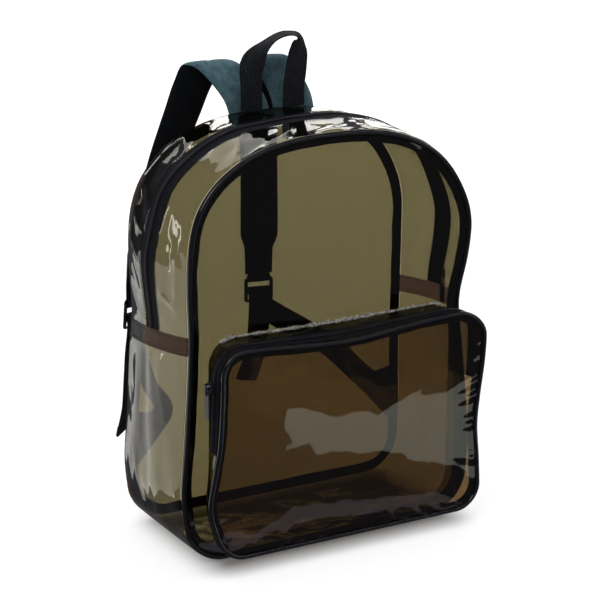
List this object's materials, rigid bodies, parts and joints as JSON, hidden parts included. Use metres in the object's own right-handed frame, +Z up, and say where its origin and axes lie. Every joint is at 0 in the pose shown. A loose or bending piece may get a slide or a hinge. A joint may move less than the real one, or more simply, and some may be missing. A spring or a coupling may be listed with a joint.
{
  "type": "clear stadium backpack",
  "caption": "Arch-shaped backpack of smoked clear vinyl with black piping, zipped main compartment and front pocket, grab handle and padded adjustable shoulder straps.",
  "frame": {"origin": "on the underside of the flat base, halfway across and halfway between the front and the back seam", "axes": "+Z up, -Y towards the front pocket, +X to the right of someone looking at the front"},
  "size_m": [0.362, 0.2615, 0.5089],
  "materials": {
    "smoked_vinyl": "glossy clear smoked PVC sheet",
    "layered_vinyl": "several layers of smoked PVC sewn together",
    "black_cord": "shiny black vinyl piping",
    "black_tape": "woven black polyester tape",
    "zip_coil": "black nylon coil",
    "zip_metal": "black enamelled zinc",
    "webbing": "ribbed black webbing",
    "pad_cloth": "charcoal woven cloth over foam",
    "buckle_plastic": "moulded black acetal"
  },
  "bodies": {
    "bag": {"front_panel": "smoked_vinyl", "back_panel": "smoked_vinyl", "front_piping": "black_cord", "back_welt": "layered_vinyl", "front_binding": "black_tape", "back_binding": "black_tape", "gusset_lower": "smoked_vinyl", "gusset_upper_front": "smoked_vinyl", "gusset_upper_back": "smoked_vinyl", "main_zip_tape": "black_tape", "main_zip_coil": "zip_coil", "side_band_left": "layered_vinyl", "side_band_right": "layered_vinyl", "pocket_front_panel": "smoked_vinyl", "pocket_piping": "black_cord", "pocket_binding": "black_tape", "pocket_zip_tape": "black_tape", "pocket_zip_coil": "zip_coil", "pocket_gusset_rear": "smoked_vinyl", "pocket_zip_end": "black_tape", "pocket_gusset_lower": "smoked_vinyl", "main_slider": "zip_metal", "pocket_slider": "zip_metal", "handle": "webbing", "strap_pad_left": "pad_cloth", "buckle_tab_left": "webbing", "buckle_left": "buckle_plastic", "strap_anchor_left": "black_tape", "strap_webbing_left": "webbing", "strap_pad_right": "pad_cloth", "buckle_tab_right": "webbing", "buckle_right": "buckle_plastic", "strap_anchor_right": "black_tape", "strap_webbing_right": "webbing"},
    "main_puller": {"main_puller": "zip_metal"},
    "pocket_puller": {"pocket_puller": "zip_metal"}
  },
  "joints": [
    {"name": "main_puller_swing", "type": "hinge", "parent": "bag", "child": "main_puller", "pos_m": [0.1799, 0, 0.244], "axis": [0, -1, 0], "range_deg": [0, 160]},
    {"name": "pocket_puller_swing", "type": "hinge", "parent": "bag", "child": "pocket_puller", "pos_m": [-0.16003, -0.1027, 0.2], "axis": [0, 1, 0], "range_deg": [0, 160]}
  ]
}
